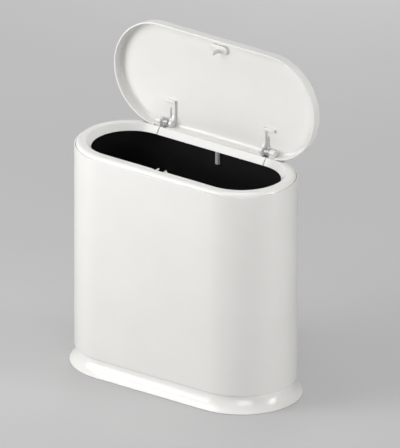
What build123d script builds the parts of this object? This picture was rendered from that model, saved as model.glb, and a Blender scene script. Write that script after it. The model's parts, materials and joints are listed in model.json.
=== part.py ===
from build123d import *
import math
import os

# A slim press-lid waste bin with a racetrack plan. Millimetres, +Z up, front towards -Y.
# The origin is on the floor, under the middle of the bin. The lid stands open at rest.

# Plan shared by the tub, plinth, bucket, collar and lid
END_SPACING = 164.0  # between the centres of the two end arcs
BODY_RADIUS = 67.5
FIT_GAP = 0.3  # between pieces that move apart
PIN_CLEARANCE = 0.05  # radial, pin in its hole
THREAD_CLEARANCE = 0.05  # radial, screw in its pilot hole

# Tub
SHELL_BOTTOM = 22.4
SHELL_HEIGHT = 256.9
SHELL_WALL = 2.8
SHELL_FLOOR = 2.4
SHELL_BOTTOM_ROUND = 3.5
LIP_WALL = 1.6
LIP_DEPTH = 7.1
LIP_ROUND = 0.6
BOSS_RADIUS = 4.5
BOSS_HEIGHT = 7.0

# Plinth with its flared skirt
NECK_INSET = 3.7  # inside the tub's wall
NECK_HEIGHT = 4.9
SKIRT_FLARE = 5.5  # outside the tub's wall
SKIRT_WALL = 1.8
SKIRT_EDGE = 1.0
DECK_THICKNESS = 2.2
RIB_THICKNESS = 1.6
RIB_HEIGHT = 8.0
PLINTH_SCREW_INSET = 24.0  # inside the end arcs' centres
PLINTH_SCREW_Y = 32.0
SCREW_POST_RADIUS = 5.5
SCREW_POST_HEIGHT = 8.0
FOOT_OFFSET = 14.0  # outside the end arcs' centres
FOOT_Y = 38.0
FOOT_RADIUS = 7.0
FOOT_HEIGHT = 3.0
FOOT_PROUD = 0.6
FOOT_POST_WALL = 2.0
FOOT_SOCKET_GAP = 0.2

# Inner bucket
BUCKET_CLEARANCE = 0.7
BUCKET_WALL = 1.4
BUCKET_FLOOR = 2.0
BUCKET_ROUND = 8.0
BUCKET_TOP_GAP = 0.7

# Collar ring
SEAM_GAP = 0.3
COLLAR_WALL = 1.6
SHOULDER_DROP = 0.3  # shoulder's outer edge below the tub's lip
CREST_INSET = 6.0  # inside the tub's wall
CREST_RISE = 1.7  # above the tub's lip
OPENING_INSET = 20.5  # inside the tub's wall
OPENING_EDGE_DROP = 1.2  # below the crest
OPENING_EDGE_ROUND = 1.6
OPENING_LIP_DEPTH = 4.6

# Hinge, worked out for the shut lid
HINGE_INSET = 7.3  # axis inside the tub's wall
HINGE_RISE = 6.8  # axis above the crest
OPEN_ANGLE = 90.3
RELIEF_GAP = 0.46
RELIEF_OVERRUN = 22.0  # beyond the end arcs' centres
RELIEF_WALL = 1.8
KNUCKLE_INSET = 1.5  # inner face inside the end arcs' centres
KNUCKLE_WIDTH = 9.5
KNUCKLE_WALL = 2.1
KNUCKLE_STEP = 0.4  # barrel proud of the post
PIN_RADIUS = 1.1
PIN_RECESS = 1.5

# Hinge bar, the separate strip between the two hinges
BAR_END_INSET = 3.9  # inside the end arcs' centres
BAR_SLIT = 1.2
BAR_BEHIND_HINGE = 0.7
SHELF_DROP = 4.8  # below the opening's edge
SHELF_THICKNESS = 2.0
SHELF_SETBACK = 5.0  # behind the opening
SHELF_OVERLAP = 4.0
BAR_SCREW_X = 40.0
BAR_SCREW_SETBACK = 8.6  # behind the opening
BAR_BOSS_RADIUS = 3.4
TONGUE_WIDTH = 6.6
TONGUE_DEPTH = 3.3
TONGUE_LENGTH = 25.0
TONGUE_WALL_GAP = 0.4

# Lid tray
LID_INSET = 1.0  # inside the tub's wall
LID_HEIGHT = 13.0
LID_FLOOR = 2.0
LID_WALL = 2.0
LID_LIP_BELOW_HINGE = 5.0
LID_TOP_ROUND = 2.0
LID_LIP_ROUND = 0.9
LID_INNER_ROUND = 3.5
NOTCH_FLOOR_GAP = 1.6  # between the notch and the lid's floor
NOTCH_GAP = 0.8

# Goose-neck arms on the lid
ARM_GAP = 10.5  # between an arm and its knuckle, for the spring
ARM_WIDTH = 6.0
ARM_BARREL_WALL = 3.1
ARM_LENGTH = 28.3
ARM_STEM_HEIGHT = 2.6
ARM_BEND_START = 10.0
ARM_BAR_LENGTH = 19.0
ARM_BAR_WIDTH = 4.0
ARM_BAR_HEIGHT = 3.0
ARM_BACK = 0.5

# Torsion springs
SPRING_WIRE = 0.85
SPRING_PIN_GAP = 0.625
SPRING_ARM_GAP = 3.4  # first turn's centre from the arm
SPRING_KNUCKLE_GAP = 1.5  # last turn's centre from the knuckle
SPRING_TURNS = 4
LID_LEG_LENGTH = 18.5
LID_LEG_GAP = 0.2
COLLAR_LEG_LENGTH = 7.8
COLLAR_LEG_TILT = 40.0

# Latch jaws at the front of the collar, drawn open
LATCH_SETBACK = 2.8  # jaws behind the opening's edge
JAW_DEPTH = 5.2
JAW_SIDE_GAP = 0.4
JAW_PIVOT_X = 7.0
JAW_PIVOT_DROP = 17.6  # below the housing's top
JAW_BOSS_RADIUS = 2.0
JAW_PIN_RADIUS = 1.0
JAW_INNER = 1.6  # inner face inside the pivot
JAW_OUTER = 0.6  # outer face outside the pivot
CLAW_TIP = 1.4  # tip inside the pivot
CLAW_END = 2.8  # claw's end inside the pivot
CLAW_RISE = 3.4  # tip above the housing's top
CLAW_DEPTH = 1.5
CLAW_THICKNESS = 1.1

# Latch housing
HOUSING_SIDE = 1.4
HOUSING_FRONT_WALL = 3.1
HOUSING_BACK_WALL = 1.5
HOUSING_HEIGHT = 27.6
HOUSING_RECESS = 0.2  # top below the opening's edge
HOUSING_FLOOR = 2.0
HOUSING_ROOF = 2.0
MOUTH_GAP = 0.4
EAR_WIDTH = 6.9
EAR_DEPTH = 7.0
EAR_SETBACK = 3.5
EAR_DROP = 4.6  # below the opening's edge
EAR_THICKNESS = 2.0
LATCH_BOSS_RADIUS = 3.0

# Latch plunger and its spring
PAD_WIDTH = 4.4
PAD_HEIGHT = 3.0
ROD_RADIUS = 1.6
ROD_CLEARANCE = 0.08
ROD_TAIL = 0.5
COLLET_DROP = 9.0  # below the pad's top
COLLET_RIM = 0.3
COLLET_THICKNESS = 1.5
LATCH_SPRING_WIRE = 0.6
LATCH_SPRING_GAP = 0.4
LATCH_SPRING_TURNS = 6
LATCH_SPRING_SEAT = 0.1

# Striker on the lid
STRIKER_LENGTH = 26.0
STRIKER_WIDTH = 10.5
STRIKER_THICKNESS = 3.0
STRIKER_ROUND = 1.0
STRIKER_OFFSET = 1.9  # plate's middle in front of the hook
HOOK_DEPTH = 4.0
HOOK_NECK_WIDTH = 2.4
HOOK_HEAD_WIDTH = 4.8
HOOK_HEAD_HEIGHT = 1.6
HOOK_TIP_WIDTH = 2.4
HOOK_DIP = 0.8  # tip below the housing's top when shut

# Screws
BIG_SHANK = 1.5
BIG_HEAD = 3.0
BIG_HEAD_HEIGHT = 2.0
SMALL_SHANK = 1.2
SMALL_HEAD = 2.4
SMALL_HEAD_HEIGHT = 1.6
SCREW_HOLE_GAP = 0.2
SCREW_TIP_GAP = 0.8
PLINTH_SCREW_BITE = 6.0

# Tub, plinth and bucket: places that follow from the sizes above
HALF = END_SPACING / 2
SHELL_TOP = SHELL_BOTTOM + SHELL_HEIGHT
LEDGE_Z = SHELL_TOP - LIP_DEPTH
SHELL_INNER_RADIUS = BODY_RADIUS - SHELL_WALL
LIP_INNER_RADIUS = BODY_RADIUS - LIP_WALL
NECK_RADIUS = BODY_RADIUS - NECK_INSET
SKIRT_RADIUS = BODY_RADIUS + SKIRT_FLARE
DECK_BOTTOM = SHELL_BOTTOM - DECK_THICKNESS
PLINTH_SCREW_X = HALF - PLINTH_SCREW_INSET
FOOT_X = HALF + FOOT_OFFSET
BUCKET_RADIUS = SHELL_INNER_RADIUS - BUCKET_CLEARANCE
BUCKET_BOTTOM = SHELL_BOTTOM + SHELL_FLOOR + BOSS_HEIGHT + FIT_GAP
BUCKET_TOP = LEDGE_Z - BUCKET_TOP_GAP

# Collar, hinge and lid: places that follow
COLLAR_RADIUS = LIP_INNER_RADIUS - SEAM_GAP
COLLAR_BOTTOM = LEDGE_Z + FIT_GAP
SHOULDER_Z = SHELL_TOP - SHOULDER_DROP
CREST_RADIUS = BODY_RADIUS - CREST_INSET
CREST_HEIGHT = SHELL_TOP + CREST_RISE
OPENING_RADIUS = BODY_RADIUS - OPENING_INSET
OPENING_EDGE_HEIGHT = CREST_HEIGHT - OPENING_EDGE_DROP
OPENING_LIP_BOTTOM = OPENING_EDGE_HEIGHT - OPENING_LIP_DEPTH
HINGE_Y = BODY_RADIUS - HINGE_INSET
HINGE_Z = CREST_HEIGHT + HINGE_RISE
LID_RADIUS = BODY_RADIUS - LID_INSET
LID_LIP_Z = HINGE_Z - LID_LIP_BELOW_HINGE
LID_TOP_Z = LID_LIP_Z + LID_HEIGHT
LID_CEILING_Z = LID_TOP_Z - LID_FLOOR
NOTCH_HEIGHT = LID_HEIGHT - LID_FLOOR - NOTCH_FLOOR_GAP
RELIEF_RADIUS = math.hypot(LID_RADIUS - HINGE_Y, LID_LIP_BELOW_HINGE) + RELIEF_GAP
RELIEF_HALF_LENGTH = HALF + RELIEF_OVERRUN
KNUCKLE_INNER = HALF - KNUCKLE_INSET
KNUCKLE_OUTER = KNUCKLE_INNER + KNUCKLE_WIDTH
KNUCKLE_RADIUS = PIN_RADIUS + KNUCKLE_WALL
ARM_OUTER = KNUCKLE_INNER - ARM_GAP
ARM_INNER = ARM_OUTER - ARM_WIDTH
ARM_BARREL_RADIUS = PIN_RADIUS + ARM_BARREL_WALL
SPRING_RADIUS = PIN_RADIUS + SPRING_PIN_GAP + SPRING_WIRE / 2
BAR_HALF_LENGTH = HALF - BAR_END_INSET
BAR_REAR = HINGE_Y + BAR_BEHIND_HINGE
BAR_SCREW_Y = OPENING_RADIUS + BAR_SCREW_SETBACK
SHELF_TOP = OPENING_EDGE_HEIGHT - SHELF_DROP
SHELF_FRONT = OPENING_RADIUS + SHELF_SETBACK
TONGUE_BOTTOM = SHELF_TOP - TONGUE_LENGTH
TONGUE_REAR = BUCKET_RADIUS - BUCKET_WALL - TONGUE_WALL_GAP
TONGUE_FRONT = TONGUE_REAR - TONGUE_DEPTH

# Latch: places that follow
LATCH_Y = -OPENING_RADIUS - LATCH_SETBACK
CAVITY_WIDTH = 2 * (JAW_PIVOT_X + JAW_BOSS_RADIUS + FIT_GAP)
CAVITY_DEPTH = JAW_DEPTH + 2 * JAW_SIDE_GAP
MOUTH_WIDTH = 2 * (JAW_PIVOT_X + JAW_OUTER + MOUTH_GAP)
HOUSING_WIDTH = CAVITY_WIDTH + 2 * HOUSING_SIDE
HOUSING_FRONT = CAVITY_DEPTH / 2 + HOUSING_FRONT_WALL
HOUSING_BACK = CAVITY_DEPTH / 2 + HOUSING_BACK_WALL
HOUSING_TOP = OPENING_EDGE_HEIGHT - HOUSING_RECESS
HOUSING_BOTTOM = HOUSING_TOP - HOUSING_HEIGHT
CAVITY_FLOOR = HOUSING_BOTTOM + HOUSING_FLOOR
EAR_REACH = HOUSING_WIDTH / 2 + EAR_WIDTH
EAR_BACK = LATCH_Y - EAR_SETBACK
EAR_FRONT = EAR_BACK - EAR_DEPTH
EAR_BOTTOM = OPENING_EDGE_HEIGHT - EAR_DROP
EAR_TOP = EAR_BOTTOM + EAR_THICKNESS
LATCH_SCREW_X = HOUSING_WIDTH / 2 + EAR_WIDTH / 2
LATCH_SCREW_Y = (EAR_FRONT + EAR_BACK) / 2
JAW_PIVOT_Z = HOUSING_TOP - JAW_PIVOT_DROP
JAW_INNER_X = JAW_PIVOT_X - JAW_INNER
JAW_OUTER_X = JAW_PIVOT_X + JAW_OUTER
CLAW_TIP_X = JAW_PIVOT_X - CLAW_TIP
CLAW_END_X = JAW_PIVOT_X - CLAW_END
CLAW_TIP_Z = HOUSING_TOP + CLAW_RISE
HOOK_TIP_Z = HOUSING_TOP - HOOK_DIP
STRIKER_Y = LATCH_Y - STRIKER_OFFSET
PAD_TOP = HOOK_TIP_Z - FIT_GAP
COLLET_TOP = PAD_TOP - COLLET_DROP
COLLET_BOTTOM = COLLET_TOP - COLLET_THICKNESS
LATCH_SPRING_RADIUS = ROD_RADIUS + LATCH_SPRING_GAP + LATCH_SPRING_WIRE / 2
COLLET_RADIUS = LATCH_SPRING_RADIUS + LATCH_SPRING_WIRE / 2 + COLLET_RIM


def slab(x_low, x_high, y_low, y_high, z_low, z_high):
    """A block between two corners."""
    size = Box(x_high - x_low, y_high - y_low, z_high - z_low)
    return Pos((x_low + x_high) / 2, (y_low + y_high) / 2, (z_low + z_high) / 2) * size


def upright(x, y, z_low, z_high, radius):
    """A vertical round bar between two heights."""
    return Pos(x, y, (z_low + z_high) / 2) * Cylinder(radius, z_high - z_low)


def crosswise(x_low, x_high, y, z, radius):
    """A round bar along X."""
    return Pos((x_low + x_high) / 2, y, z) * Rot(0, 90, 0) * Cylinder(radius, x_high - x_low)


def racetrack_block(radius, z_low, z_high):
    """A solid with the racetrack plan between two heights."""
    plan = SlotCenterToCenter(END_SPACING, 2 * radius)
    return Pos(0, 0, z_low) * extrude(plan, z_high - z_low)


def racetrack_ring(edges):
    """Carry a radius and height profile once round the racetrack plan."""
    profile = Plane.XZ * make_face(edges)
    end = revolve(profile, Axis.Z, 180)
    side = extrude(Rot(0, 0, 90) * profile, END_SPACING, dir=(1, 0, 0))
    ring = Pos(HALF, 0, 0) * Rot(0, 0, -90) * end
    ring += Pos(-HALF, 0, 0) * Rot(0, 0, 90) * end
    ring += Pos(-HALF, 0, 0) * side
    ring += Rot(0, 0, 180) * Pos(-HALF, 0, 0) * side
    return ring


def at_corners(x, y, piece):
    """Four copies of a piece, at plus and minus x and y."""
    return [Pos(sx * x, sy * y, 0) * piece for sx in (-1, 1) for sy in (-1, 1)]


def at_sides(x, y, piece):
    """Two copies of a piece, at plus and minus x."""
    return [Pos(sx * x, y, 0) * piece for sx in (-1, 1)]


def screw(shank, head, head_height, seat_z, tip_z):
    """A pan-head screw that points up, its head below the seat."""
    body = upright(0, 0, seat_z, tip_z, shank)
    cap = upright(0, 0, seat_z - head_height, seat_z, head)
    cap = fillet(cap.edges().group_by(Axis.Z)[0], head_height / 3)
    return body + cap


def swung_open(shape):
    """Turn a lid piece from the shut place it is drawn in to the open rest pose."""
    hinge = Pos(0, HINGE_Y, HINGE_Z)
    return hinge * Rot(-OPEN_ANGLE, 0, 0) * hinge.inverse() * shape


def biarcs(points, tangents):
    """Smooth arcs through points with given unit tangents, two to each span."""
    arcs = []
    for index in range(len(points) - 1):
        start, stop = points[index], points[index + 1]
        t0, t1 = tangents[index], tangents[index + 1]
        chord = stop - start
        both = t0 + t1
        a = both.dot(both) - 4
        b = -2 * chord.dot(both)
        c = chord.dot(chord)
        reach = (-b - math.sqrt(b * b - 4 * a * c)) / (2 * a)
        middle = (start + t0 * reach + stop - t1 * reach) * 0.5
        first = TangentArc(start, middle, tangent=t0)
        arcs.append(first)
        arcs.append(TangentArc(middle, stop, tangent=first % 1))
    return arcs


def coil_path(radius, start, sweep, z_low, z_high, lead_in, lead_out):
    """A helix about Z, with straight legs of given lengths along its end tangents."""
    spans = max(1, math.ceil(abs(sweep) / math.pi))
    slope = (z_high - z_low) / sweep
    points = []
    tangents = []
    for step in range(spans + 1):
        angle = start + sweep * step / spans
        height = z_low + slope * (angle - start)
        points.append(Vector(radius * math.cos(angle), radius * math.sin(angle), height))
        along = Vector(-radius * math.sin(angle), radius * math.cos(angle), slope)
        tangents.append(along.normalized() * math.copysign(1, sweep))
    edges = biarcs(points, tangents)
    if lead_in > 0:
        edges.insert(0, Line(points[0] - tangents[0] * lead_in, points[0]))
    if lead_out > 0:
        edges.append(Line(points[-1], points[-1] + tangents[-1] * lead_out))
    return Wire(edges)


def wire_gap(path, radius, wire, samples=900):
    """Least gap between the turns of a coil, measured on points along its path."""
    spots = [path @ (i / samples) for i in range(samples + 1)]
    step = path.length / samples
    apart = int(math.pi * radius / step)
    near = min((spots[i] - spots[j]).length for i in range(len(spots)) for j in range(i + apart, len(spots)))
    return near - wire


def wound(path, wire):
    """One unbroken round wire along a path."""
    section = Plane(origin=path @ 0, z_dir=path % 0) * Circle(wire / 2)
    return sweep(section, path)


def make_outer_shell():
    """Deep tub: thick wall, thin top lip, a ledge between them and bosses on the floor."""
    tub = racetrack_block(BODY_RADIUS, SHELL_BOTTOM, SHELL_TOP)
    tub = fillet(tub.edges().group_by(Axis.Z)[0], SHELL_BOTTOM_ROUND)
    tub -= racetrack_block(SHELL_INNER_RADIUS, SHELL_BOTTOM + SHELL_FLOOR, SHELL_TOP)
    tub -= racetrack_block(LIP_INNER_RADIUS, LEDGE_Z, SHELL_TOP)
    tub = fillet(tub.edges().group_by(Axis.Z)[-1], LIP_ROUND)
    floor = SHELL_BOTTOM + SHELL_FLOOR
    boss = upright(0, 0, floor - SHELL_FLOOR / 2, floor + BOSS_HEIGHT, BOSS_RADIUS)
    hole = upright(0, 0, SHELL_BOTTOM, pilot_top(), BIG_SHANK + THREAD_CLEARANCE)
    tub += at_corners(PLINTH_SCREW_X, PLINTH_SCREW_Y, boss)
    tub -= at_corners(PLINTH_SCREW_X, PLINTH_SCREW_Y, hole)
    return tub


def pilot_top():
    """Top of the blind pilot holes in the tub's bosses."""
    return SHELL_BOTTOM + PLINTH_SCREW_BITE + SCREW_TIP_GAP


def make_base_plinth():
    """Deck under the tub with a concave flared skirt, ribs, screw posts and foot sockets."""
    flare_top = SHELL_BOTTOM - NECK_HEIGHT
    edge_top = FOOT_PROUD + SKIRT_EDGE
    inner = NECK_RADIUS - SKIRT_WALL
    land = SKIRT_RADIUS - SKIRT_WALL
    outer_flare = TangentArc((NECK_RADIUS, flare_top), (SKIRT_RADIUS, edge_top), tangent=(0, -1))
    inner_flare = TangentArc((inner, flare_top), (land, FOOT_PROUD), tangent=(0, -1))
    outline = [
        outer_flare,
        Polyline((SKIRT_RADIUS, edge_top), (SKIRT_RADIUS, FOOT_PROUD), (land, FOOT_PROUD)),
        inner_flare,
        Polyline((inner, flare_top), (inner, DECK_BOTTOM), (0, DECK_BOTTOM), (0, SHELL_BOTTOM),
                 (NECK_RADIUS, SHELL_BOTTOM), (NECK_RADIUS, flare_top)),
    ]
    plinth = racetrack_ring([edge for item in outline for edge in item.edges()])
    rib_low = DECK_BOTTOM - RIB_HEIGHT
    reach = inner + SKIRT_WALL / 2
    half_rib = RIB_THICKNESS / 2
    plinth += slab(-HALF - reach, HALF + reach, -half_rib, half_rib, rib_low, DECK_BOTTOM)
    for x in (-HALF, 0, HALF):
        plinth += slab(x - half_rib, x + half_rib, -reach, reach, rib_low, DECK_BOTTOM)
    post = upright(0, 0, DECK_BOTTOM - SCREW_POST_HEIGHT, DECK_BOTTOM, SCREW_POST_RADIUS)
    well = upright(0, 0, DECK_BOTTOM - SCREW_POST_HEIGHT, DECK_BOTTOM, BIG_HEAD + SCREW_HOLE_GAP)
    hole = upright(0, 0, DECK_BOTTOM, SHELL_BOTTOM, BIG_SHANK + SCREW_HOLE_GAP)
    plinth += at_corners(PLINTH_SCREW_X, PLINTH_SCREW_Y, post)
    plinth -= at_corners(PLINTH_SCREW_X, PLINTH_SCREW_Y, well + hole)
    socket = FOOT_RADIUS + FOOT_SOCKET_GAP
    column = upright(0, 0, FOOT_PROUD, DECK_BOTTOM, socket + FOOT_POST_WALL)
    recess = upright(0, 0, FOOT_PROUD, FOOT_HEIGHT, socket)
    plinth += at_corners(FOOT_X, FOOT_Y, column)
    plinth -= at_corners(FOOT_X, FOOT_Y, recess)
    return plinth


def make_plinth_screws():
    """Four screws from below the deck into the tub's bosses."""
    one = screw(BIG_SHANK, BIG_HEAD, BIG_HEAD_HEIGHT, DECK_BOTTOM, SHELL_BOTTOM + PLINTH_SCREW_BITE)
    return Compound(at_corners(PLINTH_SCREW_X, PLINTH_SCREW_Y, one))


def make_foot_pads():
    """Four rubber pads in the plinth's sockets."""
    return Compound(at_corners(FOOT_X, FOOT_Y, upright(0, 0, 0, FOOT_HEIGHT, FOOT_RADIUS)))


def make_inner_bucket():
    """Bucket that stands on the tub's bosses and fills the tub."""
    bucket = racetrack_block(BUCKET_RADIUS, BUCKET_BOTTOM, BUCKET_TOP)
    bucket = fillet(bucket.edges().group_by(Axis.Z)[0], BUCKET_ROUND)
    room = racetrack_block(BUCKET_RADIUS - BUCKET_WALL, BUCKET_BOTTOM + BUCKET_FLOOR, BUCKET_TOP)
    room = fillet(room.edges().group_by(Axis.Z)[0], BUCKET_ROUND - BUCKET_WALL)
    return bucket - room


def collar_band():
    """The collar's moulded section all round the racetrack, before the hinge and latch cuts."""
    skirt_inner = COLLAR_RADIUS - COLLAR_WALL
    lip_inner = OPENING_RADIUS + COLLAR_WALL
    edge_radius = OPENING_RADIUS + OPENING_EDGE_ROUND
    edge_low = OPENING_EDGE_HEIGHT - OPENING_EDGE_ROUND
    under_crest = CREST_HEIGHT - COLLAR_WALL
    under_shoulder = SHOULDER_Z - COLLAR_WALL
    under_edge = OPENING_EDGE_HEIGHT - COLLAR_WALL
    shoulder = TangentArc((CREST_RADIUS, CREST_HEIGHT), (COLLAR_RADIUS, SHOULDER_Z), tangent=(1, 0))
    rounded = TangentArc((OPENING_RADIUS, edge_low), (edge_radius, OPENING_EDGE_HEIGHT), tangent=(0, 1))
    top = Line((edge_radius, OPENING_EDGE_HEIGHT), (CREST_RADIUS, CREST_HEIGHT))
    under = Polyline((COLLAR_RADIUS, SHOULDER_Z), (COLLAR_RADIUS, COLLAR_BOTTOM),
                     (skirt_inner, COLLAR_BOTTOM), (skirt_inner, under_shoulder),
                     (CREST_RADIUS, under_crest), (lip_inner, under_edge),
                     (lip_inner, OPENING_LIP_BOTTOM), (OPENING_RADIUS, OPENING_LIP_BOTTOM),
                     (OPENING_RADIUS, edge_low))
    return racetrack_ring([*shoulder.edges(), *rounded.edges(), *top.edges(), *under.edges()])


def hinge_trough():
    """Thickening under the hinge, so that the relief for the lid's edge leaves a wall."""
    bar = crosswise(-RELIEF_HALF_LENGTH, RELIEF_HALF_LENGTH, HINGE_Y, HINGE_Z, RELIEF_RADIUS + RELIEF_WALL)
    under = racetrack_block(COLLAR_RADIUS - COLLAR_WALL / 2, COLLAR_BOTTOM, OPENING_EDGE_HEIGHT)
    return bar & under


def hinge_relief():
    """Groove that the lid's rear edge turns in."""
    return crosswise(-RELIEF_HALF_LENGTH, RELIEF_HALF_LENGTH, HINGE_Y, HINGE_Z, RELIEF_RADIUS)


def knuckle():
    """Right-hand post and barrel on the collar that carries a hinge pin."""
    foot_z = OPENING_EDGE_HEIGHT - COLLAR_WALL / 2
    half_foot = KNUCKLE_RADIUS - KNUCKLE_STEP
    face = make_face(Polyline((HINGE_Y - half_foot, foot_z), (HINGE_Y + half_foot, foot_z),
                              (HINGE_Y + half_foot, HINGE_Z), (HINGE_Y - half_foot, HINGE_Z), close=True))
    post = Pos(KNUCKLE_INNER, 0, 0) * extrude(Plane.YZ * face, KNUCKLE_WIDTH)
    barrel = crosswise(KNUCKLE_INNER, KNUCKLE_OUTER, HINGE_Y, HINGE_Z, KNUCKLE_RADIUS)
    return post + barrel


def bar_window(gap):
    """The room that the hinge bar takes at the back of the collar, widened by a gap."""
    half = BAR_HALF_LENGTH + gap
    return slab(-half, half, OPENING_RADIUS - gap, BAR_REAR + gap, SHELF_TOP, HINGE_Z)


def latch_notch():
    """The cut in the front of the collar for the latch housing."""
    half = HOUSING_WIDTH / 2 + FIT_GAP
    front = LATCH_Y - HOUSING_FRONT - FIT_GAP
    return slab(-half, half, front, LATCH_Y + HOUSING_BACK, LEDGE_Z, CREST_HEIGHT)


def make_collar_ring(band):
    """Collar ring with hinge knuckles, a shelf for the hinge bar and the latch notch."""
    ring = band + hinge_trough() - hinge_relief()
    ring -= bar_window(BAR_SLIT)
    shelf_low = SHELF_TOP - SHELF_THICKNESS
    half_shelf = BAR_HALF_LENGTH + SHELF_OVERLAP
    rear = COLLAR_RADIUS - COLLAR_WALL / 2
    ring += slab(-half_shelf, half_shelf, SHELF_FRONT, rear, shelf_low, SHELF_TOP)
    web_inner = BAR_HALF_LENGTH + BAR_SLIT
    web = slab(web_inner, half_shelf, SHELF_FRONT, rear, shelf_low, OPENING_EDGE_HEIGHT - COLLAR_WALL)
    ring += web + mirror(web, Plane.YZ)
    post = knuckle()
    ring += post + mirror(post, Plane.YZ)
    bore = crosswise(KNUCKLE_INNER, KNUCKLE_OUTER, HINGE_Y, HINGE_Z, PIN_RADIUS + PIN_CLEARANCE)
    ring -= bore + mirror(bore, Plane.YZ)
    room = TONGUE_WIDTH / 2 + FIT_GAP
    ring -= slab(-room, room, TONGUE_FRONT - FIT_GAP, TONGUE_REAR + FIT_GAP, shelf_low, SHELF_TOP)
    hole = upright(0, 0, shelf_low, SHELF_TOP, SMALL_SHANK + SCREW_HOLE_GAP)
    ring -= at_sides(BAR_SCREW_X, BAR_SCREW_Y, hole)
    ring -= latch_notch()
    boss = upright(0, 0, EAR_TOP, OPENING_EDGE_HEIGHT - COLLAR_WALL / 4, LATCH_BOSS_RADIUS)
    pilot = upright(0, 0, EAR_TOP, OPENING_EDGE_HEIGHT - COLLAR_WALL / 4, SMALL_SHANK + THREAD_CLEARANCE)
    ring += at_sides(LATCH_SCREW_X, LATCH_SCREW_Y, boss)
    ring -= at_sides(LATCH_SCREW_X, LATCH_SCREW_Y, pilot)
    return ring


def make_hinge_bar(band):
    """Strip between the hinges, cut from the collar's own section, with its hanging tongue."""
    bar = (band + hinge_trough()) & bar_window(0)
    bar -= hinge_relief()
    roof = OPENING_EDGE_HEIGHT - COLLAR_WALL / 2
    bar += at_sides(BAR_SCREW_X, BAR_SCREW_Y, upright(0, 0, SHELF_TOP, roof, BAR_BOSS_RADIUS))
    pilot = upright(0, 0, SHELF_TOP, roof, SMALL_SHANK + THREAD_CLEARANCE)
    bar -= at_sides(BAR_SCREW_X, BAR_SCREW_Y, pilot)
    half = TONGUE_WIDTH / 2
    section = make_face([*ThreePointArc((-half, TONGUE_REAR), (0, TONGUE_FRONT), (half, TONGUE_REAR)).edges(),
                         *Line((half, TONGUE_REAR), (-half, TONGUE_REAR)).edges()])
    tongue = Pos(0, 0, TONGUE_BOTTOM) * extrude(section, SHELF_TOP - TONGUE_BOTTOM)
    tongue = fillet(tongue.edges().group_by(Axis.Z)[0], TONGUE_DEPTH / 4)
    root = slab(-half, half, TONGUE_FRONT, BAR_REAR, SHELF_TOP, roof)
    neck = slab(-half, half, TONGUE_FRONT, TONGUE_REAR, SHELF_TOP, SHELF_TOP + COLLAR_WALL)
    return bar + root + neck + tongue


def make_hinge_bar_screws():
    """Two screws from below the shelf into the hinge bar."""
    seat = SHELF_TOP - SHELF_THICKNESS
    tip = OPENING_EDGE_HEIGHT - COLLAR_WALL / 2 - SCREW_TIP_GAP
    one = screw(SMALL_SHANK, SMALL_HEAD, SMALL_HEAD_HEIGHT, seat, tip)
    return Compound(at_sides(BAR_SCREW_X, BAR_SCREW_Y, one))


def make_hinge_pin():
    """Right-hand hinge pin, through the lid's arm, the spring and the collar's knuckle."""
    return crosswise(ARM_INNER + PIN_RECESS, KNUCKLE_OUTER - PIN_RECESS, HINGE_Y, HINGE_Z, PIN_RADIUS)


def make_torsion_spring():
    """Right-hand spring: one leg up the lid's floor, the other forward onto the collar."""
    floor = LID_CEILING_Z - HINGE_Z - SPRING_WIRE / 2 - LID_LEG_GAP
    reach = math.hypot(SPRING_RADIUS, LID_LEG_LENGTH)
    start = math.atan2(SPRING_RADIUS, LID_LEG_LENGTH) - math.asin(floor / reach)
    stop = -math.radians(90 - COLLAR_LEG_TILT) - 2 * math.pi * SPRING_TURNS
    path = coil_path(SPRING_RADIUS, start, stop - start, ARM_OUTER + SPRING_ARM_GAP,
                     KNUCKLE_INNER - SPRING_KNUCKLE_GAP, LID_LEG_LENGTH, COLLAR_LEG_LENGTH)
    print("torsion spring: least gap", round(wire_gap(path, SPRING_RADIUS, SPRING_WIRE), 3), "mm")
    axis = Plane(origin=(0, HINGE_Y, HINGE_Z), x_dir=(0, 1, 0), z_dir=(1, 0, 0))
    return axis * wound(path, SPRING_WIRE)


def make_lid_shell():
    """Racetrack tray with rounded edges and notches for the collar's knuckles, drawn shut."""
    tray = racetrack_block(LID_RADIUS, LID_LIP_Z, LID_TOP_Z)
    tray = fillet(tray.edges().group_by(Axis.Z)[-1], LID_TOP_ROUND)
    room = racetrack_block(LID_RADIUS - LID_WALL, LID_LIP_Z, LID_CEILING_Z)
    room = fillet(room.edges().group_by(Axis.Z)[-1], LID_INNER_ROUND)
    tray -= room
    tray = fillet(tray.edges().group_by(Axis.Z)[0], LID_LIP_ROUND)
    inner = LID_RADIUS - LID_WALL - LID_INNER_ROUND
    notch = slab(ARM_OUTER + FIT_GAP, KNUCKLE_OUTER + NOTCH_GAP, inner, BODY_RADIUS,
                 LID_LIP_Z, LID_LIP_Z + NOTCH_HEIGHT)
    return tray - notch - mirror(notch, Plane.YZ)


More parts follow.
